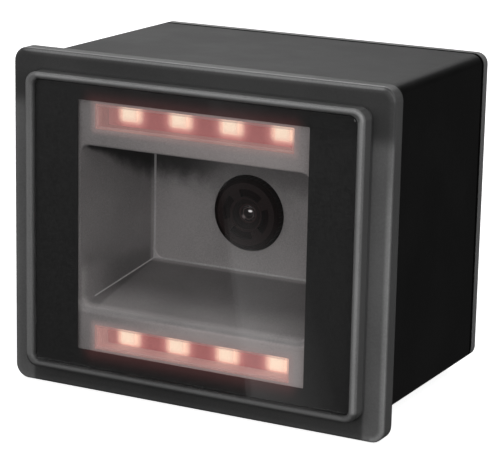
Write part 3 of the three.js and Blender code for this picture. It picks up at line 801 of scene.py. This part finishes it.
def bezel(material):
    """The flange with its raised rim, one closed profile swept round the window."""
    flange = fitted(FLANGE, FLANGE_CORNER)
    rim = (*RIM, 0)
    pocket = fitted(GLASS, 1.4, 0.1)
    opening = (SHROUD_FACE[0] + 1, SHROUD_FACE[1] + 1, 1.5, SHROUD_FACE[3])
    pad = fitted(HOUSING, BODY_CORNER, 0.3)
    loops = [
        *rings(opening, (LEDGE_DEPTH, 0)),
        *rings(pocket, (LEDGE_DEPTH, 0)),
        *curved(pocket, 0, RIM_INNER_ROUND, RIM_INNER_ROUND, 3),
        *reversed(curved(rim, 0, RIM_ROUND, -RIM_ROUND, 6)),
        *curved(rim, FLANGE_FRONT, -RIM_FOOT, RIM_FOOT, 4),
        *reversed(curved(flange, FLANGE_FRONT, FLANGE_ROUND, -FLANGE_ROUND, 7)),
        *rings(flange, (SEAT_DEPTH - 0.35, 0), (SEAT_DEPTH - 0.1, 0.1), (SEAT_DEPTH, 0.35)),
        *rings(pad, (SEAT_DEPTH, 0), (FLANGE[3], 0)),
        *rings(opening, (FLANGE[3], 0)),
    ]
    bores = [
        rod(SCREW_HOLES["bezel"], FLANGE_FRONT + 0.3, FLANGE[3] + 1, x, rise, 24)
        for x, rise in axes(SCREWS)
    ]
    mesh = cut(loft(loops, closed=True), *bores)
    finish_piece(mesh, "bezel_frame", "front_bezel", material)


def housing(material):
    """The sleeve with a screw pillar up each corner."""
    outer, inner = fitted(HOUSING, BODY_CORNER), fitted(HOUSING, 0.6, -WALL)
    near, far = HOUSING[2:4]
    sleeve = loft([
        *rings(inner, (near, 0)),
        *rings(outer, (near, 0.15), (near + 0.15, 0)),
        *rings(outer, (far - 0.3, 0), (far - 0.1, 0.08), (far, 0.3)),
        *rings(inner, (far, 0)),
    ], closed=True)
    pillars = [
        slab(corner, PILLAR / 2, SHROUD_FLANGE[1] + 0.3, far)
        for corner in corners(HOUSING, WALL + PILLAR / 2 - 0.3)
    ]
    bores = [
        rod(SCREW_HOLES["housing"], near - 1, far + 1, x, rise, 24) for x, rise in axes(SCREWS)
    ]
    mesh = cut(join(sleeve, *pillars), *bores)
    finish_piece(mesh, "housing_sleeve", "main_housing", material)


def cover(material):
    """The rear plate with its locating lip, socket hole, label recess and countersinks."""
    plate, edge = fitted(COVER, BODY_CORNER), fitted(COVER, 0.5, -WALL - 0.3)
    back, front, past = COVER[3], COVER_FRONT, COVER[3] + 1
    body = loft([
        *rings(plate, (front, 0.12), (front + 0.12, 0)),
        *curved(plate, back, -COVER_ROUND, -COVER_ROUND, 5),
    ])
    lip = loft(rings(edge, (COVER[2], LIP_WALL), (COVER[2], 0), (front + 0.3, 0),
                     (front + 0.3, LIP_WALL)), closed=True)
    reliefs = [slab(corner, LIP_RELIEF, COVER[2] - 1, front) for corner in corners(COVER)]
    body = join(body, cut(lip, *reliefs))
    hole = slab(SOCKET, 0.3, COVER[2] - 1, past, 0.6)
    recess = slab(LABEL, 0.3, LABEL[2] - 0.05, past, 1)
    bore = SCREW_HOLES["housing"]
    sinks = [
        turned([(bore, front - 1), (bore, back - 1.4), (2.6, back - 0.15), (2.7, past)], x, rise)
        for x, rise in axes(SCREWS)
    ]
    mesh = cut(body, hole, recess, *sinks)
    use_second(mesh, lambda face, centre: face.normal.y < -0.5 and centre.y < front + 0.1)
    finish_piece(mesh, "cover_plate", "rear_cover", material)


def case_screw(number, material):
    """A countersunk screw with a rolled thread and a cross recess."""
    x, _, rise = middle(SCREWS[number - 1])
    tip, top = SCREWS[number - 1][2:4]
    profile = [(0, tip), (0.7, tip), (1.2, tip + 0.8)]
    turn = tip + 1.0
    while turn < tip + 14:
        profile += [(1.25, turn), (1.0, turn + 0.35)]
        turn += 0.7
    profile += [(1.15, turn), (1.15, top - 1.3), (2.33, top - 0.15), (2.4, top - 0.08),
                (2.3, top), (0, top)]
    body = turned(profile, x, rise, 32)
    arms = [
        loft([
            ring(top - 1.1, rectangle(wide * 0.3, tall * 0.3, 0, rise, x, 1)),
            ring(top + 0.2, rectangle(wide, tall, 0, rise, x, 1)),
        ])
        for wide, tall in ((2.6, 0.62), (0.62, 2.6))
    ]
    mesh = cut(body, join(*arms))
    finish_piece(mesh, f"case_screw_head_{number}", f"case_screw_{number}", material,
                 sharp=35)


def host_socket(material, gold):
    """The modular socket in the rear cover, with its keyway and eight sprung contacts."""
    x, _, rise = middle(SOCKET)
    back, port_rise = SOCKET[3], rise + 1
    width, height = SOCKET[1] - SOCKET[0], SOCKET[5] - SOCKET[4]
    outline = rectangle(width, height, 0.4, rise, x, 3)
    inset = rectangle(width - 0.3, height - 0.3, 0.3, rise, x, 3)
    body = loft([ring(SOCKET[2], outline), ring(back - 0.15, outline), ring(back, inset)])
    low, high = port_rise - PORT[1] / 2, port_rise + PORT[1] / 2
    port, key, notch = [
        box_mesh(x - half, x + half, back - PORT[2], back + 1, bottom, top)
        for half, bottom, top in ((PORT[0] / 2, low, high), (2.8, low - 2.2, low + 0.5),
                                  (1.6, low - 3.1, low - 2))
    ]
    mesh = cut(body, join(port, key, notch))
    finish_piece(mesh, "host_socket", "interface_socket", material)
    for number in range(8):
        left = x + (number - 3.5) * 1.02 - 0.2
        path = [(back - 1.0, high - 0.05), (back - 1.9, high - 0.5), (back - 6.4, high - 2.6),
                (back - 7.0, high - 2.55), (back - 6.9, high - 2.25), (back - 1.9, high - 0.2)]
        wire = loft([[(side, *point) for point in path] for side in (left, left + 0.4)])
        finish_piece(wire, f"socket_contact_{number + 1}", "interface_socket", gold)


# ---------- window
def window_pane(material):
    """Hard-coated pane with a fine ground edge."""
    near, far = GLASS[2:4]
    mesh = loft(rings(fitted(GLASS, 1.15), (near, 0.15), (near + 0.15, 0), (far - 0.15, 0),
                      (far, 0.15)))
    finish_piece(mesh, "window_pane", "window_glass", material)


def printed_mask(material):
    """The black border printed behind the pane."""
    near, far = MASK[2:4]
    mesh = loft([
        *rings(CLEAR, (near, 0)),
        *rings(fitted(MASK, 1.0), (near, 0), (far, 0)),
        *rings(CLEAR, (far, 0)),
    ], closed=True)
    finish_piece(mesh, "printed_mask", "window_mask", material)


# ---------- recess behind the window
def funnel_size(depth):
    """The recess's half width, top and bottom at a depth."""
    share = (depth - MOUTH["depth"]) / (THROAT["depth"] - MOUTH["depth"])
    return {side: MOUTH[side] + share * (THROAT[side] - MOUTH[side])
            for side in ("half", "top", "bottom")}


def funnel_loop(depth, corner, grow=0.0):
    """The recess's outline at a depth, its walls moved out by `grow`."""
    size = funnel_size(depth)
    return ring(depth, rectangle(
        2 * (size["half"] + grow), size["top"] - size["bottom"] + 2 * grow, corner,
        (size["top"] + size["bottom"]) / 2))


def lip_reach(angle):
    """How far the recess's lip is rounded, by the direction it faces: most at the sill."""
    return LIP["side"] + (LIP["sill"] - LIP["side"]) * max(0.0, -sin(angle))


def mouth_loops():
    """Loops round the recess's mouth, from in front of the face to the end of its lip."""
    middle_rise = (MOUTH["top"] + MOUTH["bottom"]) / 2
    loops = []
    for turn in quarter_turns(6):
        loop = []
        for centre_x, centre_z, angle in corner_steps(
                2 * MOUTH["half"], MOUTH["top"] - MOUTH["bottom"], MOUTH_CORNER):
            reach = lip_reach(angle)
            depth = SHROUD[2] + reach * (1 - cos(turn))
            slope = funnel_size(depth)["half"] - MOUTH["half"]
            out = MOUTH_CORNER + reach * (1 - sin(turn)) + slope
            loop.append((centre_x + out * cos(angle), depth,
                         middle_rise + centre_z + out * sin(angle)))
        loops.append(loop)
    in_front = [(x, SHROUD[2] - 1, rise) for x, _, rise in loops[0]]
    return [in_front, *loops]


def recess_cutter():
    """The empty space of the recess: round-cornered mouth, sharp walls, soft back corners."""
    loops = mouth_loops() + [funnel_loop(depth, WALL_CORNER) for depth in (6.5, 15)]
    for turn in quarter_turns(4):
        share = 1 - cos(turn)
        loops.append(funnel_loop(THROAT["depth"] - BACK_ROUND * (1 - sin(turn)),
                                 WALL_CORNER + (PANEL_CORNER - WALL_CORNER) * share,
                                 -BACK_ROUND * share))
    return loft(loops)


def shroud(plastic, edges):
    """The moulding behind the window: lit face, camera recess, rear flange and board posts."""
    near, far = SHROUD_FLANGE
    front, post_end = SHROUD[2:4]
    block = loft(rings(SHROUD_FACE, (front, 0.25), (front + 0.25, 0), (far, 0)))
    plate = loft(rings(fitted(SHROUD, 1.0), (near, 0), (far, 0)))
    wall_back = THROAT["depth"] + FUNNEL_WALL
    horn = loft([funnel_loop(depth, 3.2, FUNNEL_WALL) for depth in (2.3, 14, wall_back)])
    posts = [rod(2.6, THROAT["depth"] + 0.5, post_end, x, rise) for x, rise in axes(SPACERS)]
    body = join(block, plate, horn, *posts)
    pockets = []
    for row, strip in STRIPS.items():
        board = LIGHT_BOARDS[row]
        pockets.append(slab(strip, 0.1, front - 1, board[2], 0.3))
        pockets.append(slab(board, 0.3, board[2] - 0.1, far + 1))
    holes = [
        rod(SCREW_HOLES["shroud"], near - 1, far + 1, x, rise, 24) for x, rise in axes(SCREWS)
    ]
    holes += [rod(1.05, 30.2, post_end + 1, x, rise, 20) for x, rise in axes(SPACERS)]
    lens_hole = rod(LENS_HOLE, THROAT["depth"] - 1, wall_back + 1, 0, middle(HEAD)[2], 96)
    mesh = cut(body, recess_cutter())
    mesh = cut(mesh, lens_hole, *pockets, *holes)
    # The second finish paints highlights on the recess's fillets.
    mark_recess_edges(mesh)
    finish_piece(mesh, "recess_moulding", "inner_shroud", [plastic, edges],
                 sharp=24)


def mark_recess_edges(mesh):
    """Gives the second material, a paler copy of the plastic that paints highlights on them, to the
    small fillets between the recess's walls.
    """
    size, deep = funnel_size(SHROUD[2]), funnel_size(THROAT["depth"])
    run = THROAT["depth"] - SHROUD[2]
    mains = [
        Vector((0, -1, 0)),
        Vector((run, size["half"] - deep["half"], 0)).normalized() * -1,
        Vector((-run, size["half"] - deep["half"], 0)).normalized() * -1,
        Vector((0, -(size["top"] - deep["top"]), -run)).normalized(),
        Vector((0, -(deep["bottom"] - size["bottom"]), run)).normalized(),
    ]
    mesh.normal_update()

    def on_fillet(face, centre):
        here = funnel_size(min(max(centre.y, SHROUD[2]), THROAT["depth"]))
        inside = (6 < centre.y < THROAT["depth"] + 0.01 and abs(centre.x) < here["half"] + 0.05
                  and here["bottom"] - 0.05 < centre.z < here["top"] + 0.05)
        turned_away = min(face.normal.angle(main, 0) for main in mains) > radians(7)
        on_lens = hypot(centre.x, centre.z - middle(HEAD)[2]) < LENS_HOLE + 0.5
        return inside and turned_away and not on_lens

    use_second(mesh, on_fillet)


# ---------- lights and lens
def light_strip(row, material):
    """The diffuser that closes a light pocket, with a fine step round its edge."""
    near, far = STRIPS[row][2:4]
    mesh = loft(rings(fitted(STRIPS[row], 0.25), (near + 0.12, 0.42), (near, 0.3), (near, 0.08),
                      (near + 0.08, 0), (far, 0), points=4))
    use_second(mesh, lambda face, centre: len(face.verts) == 4 and centre.y < near + 0.3)
    finish_piece(mesh, f"light_strip_{row}", f"led_window_{row}", material, sharp=20)


def emitter(node, material):
    """A surface-mounted lamp: a square body with a low round-cornered lens."""
    box = EMITTERS[node]
    x, _, rise = middle(box)
    near, far = box[2:4]
    outline = rectangle(box[1] - box[0], box[5] - box[4], 0.3, steps=5)
    steps = ((1.0, far - near), (1.0, 0.35), (0.96, 0.25), (0.84, 0.22), (0.78, 0.1), (0.66, 0.03),
             (0.45, 0.0))
    mesh = loft([
        [(x + share * across, near + drop, rise + share * up) for across, up in outline]
        for share, drop in steps
    ])
    finish_piece(mesh, f"lamp_{node[4:]}", node, material, sharp=40)


def light_board(row, material):
    mesh = slab(LIGHT_BOARDS[row], 0, *LIGHT_BOARDS[row][2:4], 0.6)
    finish_piece(mesh, f"light_board_{row}", f"led_board_{row}", material)


def arc_slot(x, rise, direction, near, steps=20):
    """The empty space of a spanner slot, an arc round the lens about a direction in degrees."""
    outline = []
    for radius, way in ((SLOT_RADII[1], 1), (SLOT_RADII[0], -1)):
        for step in range(steps + 1):
            angle = radians(direction + way * SLOT_HALF * (2 * step / steps - 1))
            outline.append(spoke(radius, angle, x, rise))
    return loft([ring(near - 1, outline), ring(near + 0.9, outline)])


def lens_head(material):
    """The knurled head of the lens barrel, with four arc slots round a raised boss."""
    x, _, rise = middle(HEAD)
    near, far = HEAD[2:4]
    radius = (HEAD[1] - HEAD[0]) / 2
    grooves, per_groove = 40, 8
    sides = grooves * per_groove

    def knurled(reach, depth):
        turns = [2 * pi * side / sides for side in range(sides)]
        dips = [0.16 * max(0.0, cos(turn * grooves)) ** 2 for turn in turns]
        return ring(depth, [spoke(reach - dip, turn, x, rise) for dip, turn in zip(dips, turns)])

    # The flat face, a groove and the boss's edge, as (radius, how far it is set back).
    profile = [
        (radius, 0.5), (radius, 0.36), (radius - 0.08, 0.28), (6.3, 0.02), (6.22, 0), (3.42, 0),
        (3.36, 0), (3.3, 0.14), (3.05, 0.16), (2.98, 0.02), (2.86, 0), (2.75, 0.03),
    ]
    # Steps down the cone, then the ring that holds the glass.
    reach, back = profile[-1]
    while back < 0.92:
        profile += [(reach - 0.02, back + 0.12), (reach - 0.15, back + 0.15)]
        reach, back = reach - 0.125, back + 0.15
    profile += [(2.0, 0.98), (1.93, 1.02), (1.84, 0.96), (1.68, 0.98), (1.6, 1.08), (1.6, 1.2),
                (3.1, 1.2)]
    body = loft([
        circle(3.1, far, x, rise, sides), knurled(radius - 0.12, far),
        knurled(radius, far - 0.12), knurled(radius, near + 0.56),
        *[circle(reach, near + back, x, rise, sides) for reach, back in profile],
    ], closed=True)
    mesh = cut(body, *[arc_slot(x, rise, SLOT_FIRST + 90 * number, near) for number in range(4)])

    # Painted shade: the slots' sunk floors and the knurled side get the near-black second finish.
    def dark(_, centre):
        reach = hypot(centre.x - x, centre.z - rise)
        sunk = centre.y > near + 0.3 and 3.4 < reach < 5.2
        return sunk or (reach > 6.25 and centre.y < near + 0.4)

    use_second(mesh, dark)
    finish_piece(mesh, "lens_head_ring", "lens_ring", material, sharp=30,
                 body=HEAD_BODY)


def front_element(material):
    """The dome of the front lens, with a ground rim."""
    x, _, rise = middle(FRONT_LENS)
    near, far = FRONT_LENS[2:4]
    radius = (FRONT_LENS[1] - FRONT_LENS[0]) / 2
    profile = [(radius * step / 12, near + 0.4 * (step / 12) ** 2) for step in range(13)]
    profile += [(radius, far), (0, far)]
    mesh = turned(profile, x, rise, 64)
    finish_piece(mesh, "front_element", "lens_front_glass", material, sharp=50,
                 body=CELL_BODY)


# ---------- camera, lights and floor
def set_camera(aim, distance, azimuth, elevation, roll, lens):
    """A camera that looks down at `aim` from a distance, with its turns in degrees."""
    camera = bpy.data.objects.new("camera", bpy.data.cameras.new("camera"))
    camera.data.lens = lens
    camera.data.clip_start = 0.01
    camera.data.clip_end = 20
    turns = Matrix.Identity(4)
    for degrees, axis in ((azimuth, "Z"), (90 - elevation, "X"), (roll, "Z")):
        turns = turns @ Matrix.Rotation(radians(degrees), 4, axis)
    camera.matrix_world = (Matrix.Translation(aim) @ turns
                           @ Matrix.Translation((0, 0, distance)))
    bpy.context.scene.collection.objects.link(camera)
    bpy.context.scene.camera = camera


def soft_box(name, turn, height, strength):
    """A soft light panel aimed at the object, as bright as `strength` however large it is."""
    light = bpy.data.lights.new(name, "AREA")
    light.shape = "RECTANGLE"
    light.size = PANEL_WIDTH
    light.size_y = HIGH_PANEL if height > 20 else LOW_PANEL
    light.energy = strength * light.size * light.size_y * pi
    around, up = radians(turn), radians(height)
    away = Vector((sin(around) * cos(up), -cos(around) * cos(up), sin(up)))
    lamp = bpy.data.objects.new(name, light)
    lamp.location = place(0, 20, 0) + away * PANEL_DISTANCE
    lamp.rotation_euler = (-away).to_track_quat("-Z", "Y").to_euler()
    lamp.visible_camera = False
    bpy.context.scene.collection.objects.link(lamp)


def studio_floor():
    """A wide pale floor, seen evenly lit with only a faint shade by the object.

    What it throws back is dimmer, apart from a pale sheet lying on it in front. The sheet's
    straight side shows as a slanted line in the window.
    """
    material, tree, spot = new_material("pale_floor")
    pale = blend(noise(spot, 0.02, 2.0), grey(0.8), grey(0.84))
    matt = add(tree, "BsdfPrincipled", Base_Color=pale, Roughness=0.9)
    matt.inputs["Specular IOR Level"].default_value = 0.0
    lit = add(tree, "Emission", Color=WHITE, Strength=FLOOR_SHINE)
    both = add(tree, "AddShader", _0=matt.outputs[0], _1=lit.outputs[0])
    aside = spot.x - spot.depth * SHEET_SLANT
    on_sheet = (maths("GREATER_THAN", aside, SHEET_OFFSET) * maths("LESS_THAN", spot.depth, -6.0)
                * between(aside, SHEET_OFFSET + 20, SHEET_OFFSET, 0.03, 1.0, False)
                * between(spot.depth, -155, -100, 0.2, 1.0))
    bounce = on_sheet * SHEET_BOUNCE + FLOOR_BOUNCE
    dim = add(tree, "Emission", Color=WHITE, Strength=bounce)
    seen = add(tree, "LightPath").outputs["Is Camera Ray"]
    finished(material, mixed(tree, seen, dim, both), "AUTO")
    mesh = bmesh.new()
    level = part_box("front_bezel")[0][2] - 0.0002
    bmesh.ops.create_grid(mesh, x_segments=8, y_segments=8, size=3)
    for vert in mesh.verts:
        vert.co.z = level
    floor = to_object(mesh, "studio_floor")
    floor.data.materials.append(material)


def studio_world():
    """A pale backdrop that lights nothing: the soft boxes do."""
    world = bpy.data.worlds.new("studio")
    world.use_nodes = True
    tree = world.node_tree
    tree.nodes.clear()
    seen = add(tree, "LightPath").outputs["Is Camera Ray"]
    unlit = add(tree, "Background", Color=WHITE, Strength=0.0)
    backdrop = add(tree, "Background", Color=WHITE, Strength=BACKDROP)
    both = mixed(tree, seen, unlit, backdrop)
    add(tree, "OutputWorld", Surface=both.outputs[0])
    bpy.context.scene.world = world


bpy.context.scene.view_settings.view_transform = "Standard"
set_camera(place(16.6, -6.2, 6.97), distance=0.4, azimuth=27.61, elevation=13.92, roll=1.15,
           lens=161.15)
studio_floor()
studio_world()
for panel, (turn, height, strength) in PANELS.items():
    soft_box(panel, turn, height, strength)

# ---------- finishes and pieces
# The bezel's colour carries painted highlights and painted shade.
bezel_plastic = moulded("bezel_plastic", 0.105, roughness=0.36, tone_at=bezel_painted_light)
housing_plastic = moulded("housing_plastic", 0.0022, grain=2.2, bump=0.6, variation=0.5)
cover_plastic = moulded("cover_plastic", 0.195, roughness=0.45)
# The recess plastic's colour carries painted shade and highlights, and its glow is painted light
# from the strips.
shroud_plastic = moulded("shroud_plastic", 0.335, (1.0, 0.945, 0.945), grain=4.5, bump=0.12,
                         roughness=0.55, variation=0.16, specular=0.22, tone_at=shroud_painted_light,
                         glow_at=shroud_glow)
# A paler copy of the recess plastic: painted highlights on the fillets between the recess's walls.
shroud_fillet_highlight = moulded("shroud_fillet_highlight", 0.62, (1.0, 0.97, 0.97), grain=2.6, bump=0.05,
                       roughness=0.4, specular=0.3)
mask_film = plain_finish("mask_film", (0.0185, 0.0185, 0.0185), (0.0225, 0.0225, 0.0225), 2.0,
                         0.35, tone_at=mask_tones, glow_at=mask_glow)
seam_black = plain_finish("seam_black", (0.005, 0.005, 0.005), (0.009, 0.009, 0.009), 4.0, 0.9,
                          specular=0.02)
foam = plain_finish("foam", (0.004, 0.004, 0.004), (0.009, 0.009, 0.009), 5.0, 0.9, bump=0.6,
                    specular=0.05)
board = circuit_board("circuit_board")
chip_plastic = plain_finish("chip_plastic", (0.012, 0.012, 0.013), (0.02, 0.02, 0.021), 6.0, 0.5,
                            bump=0.2)
lens_plastic = plain_finish("lens_plastic", (0.02, 0.01, 0.01), (0.03, 0.016, 0.016), 5.0, 0.5,
                            bump=0.1, specular=0.12, tone_at=lens_tones)
# Near-black finish painted in the slots and on the knurled side as painted shade.
lens_painted_shade = plain_finish("lens_painted_shade", (0.006, 0.001, 0.001), (0.009, 0.002, 0.002), 5.0, 0.8,
                          bump=0.1, specular=0.03)
# The lens glass carries a painted highlight ring and painted glints.
lens_glass = plain_finish("lens_glass", (0.02, 0.013, 0.013), (0.03, 0.02, 0.02), 0.4, 0.06,
                          bump=0.0, coat=0.6, tone_at=glass_painted_ring, glow_at=glass_glint)
sensor_glass = plain_finish("sensor_glass", (0.02, 0.03, 0.05), (0.04, 0.06, 0.08), 0.8, 0.08)
flex = plain_finish("flex", (0.28, 0.09, 0.012), (0.4, 0.14, 0.02), 1.0, 0.3)
ribbon = plain_finish("ribbon", (0.55, 0.53, 0.47), (0.72, 0.7, 0.63), 2.0, 0.35,
                      stretch=(4, 0.1, 1))
label_film = plain_finish("label_film", (0.5, 0.51, 0.52), (0.58, 0.59, 0.6), 0.5, 0.35,
                          stretch=(0.2, 1, 8))
zinc = plain_finish("zinc", (0.06, 0.06, 0.065), (0.12, 0.12, 0.125), 3.0, 0.35, metallic=1.0)
brass = plain_finish("brass", (0.55, 0.38, 0.1), (0.7, 0.5, 0.16), 2.0, 0.3, metallic=1.0)
gold = plain_finish("gold", (0.75, 0.5, 0.15), (0.9, 0.65, 0.25), 2.0, 0.22, metallic=1.0)
pane_glass = clear_pane("pane_glass")
board_glow = light_board_finish("light_board_face")
lamp = lamp_finish("lamp")
strip_face = strip_finish("strip_face", 0.22, (0.6, 0.34, 0.33), (0.15, 0.12, 0.115))
strip_edge = strip_finish("strip_edge", 0.55, (0.7, 0.5, 0.48), (0.1, 0.08, 0.075))

bezel(bezel_plastic)
housing(housing_plastic)
cover([cover_plastic, seam_black])
window_pane(pane_glass)
printed_mask(mask_film)
shroud(shroud_plastic, shroud_fillet_highlight)
for row_name in ("top", "bottom"):
    light_strip(row_name, [strip_face, strip_edge])
    light_board(row_name, board_glow)
for emitter_name in EMITTERS:
    emitter(emitter_name, lamp)
lens_head([lens_plastic, lens_painted_shade])
front_element(lens_glass)
for screw_number in range(1, 5):
    case_screw(screw_number, zinc)
host_socket(chip_plastic, gold)

# Nodes that keep their own mesh, with the finish that each gets.
CARRIED_OVER = {
    "window_gasket": foam, "rear_seal": foam, "blank_label": label_film,
    "lens_barrel": lens_plastic, "lens_holder": lens_plastic, "lens_rear_glass": lens_glass,
    "ir_filter": lens_glass, "image_sensor": sensor_glass, "camera_board": board,
    "camera_ribbon": ribbon, "main_board": board, "processor_chip": chip_plastic,
    "memory_chip": chip_plastic, "buzzer": chip_plastic,
    "led_flex_top": flex, "led_flex_bottom": flex,
}
for number in range(1, 5):
    CARRIED_OVER[f"board_spacer_{number}"] = brass
    CARRIED_OVER[f"board_screw_{number}"] = zinc
for node_name, finish in CARRIED_OVER.items():
    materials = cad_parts[node_name].data.materials
    materials.clear()
    materials.append(finish)
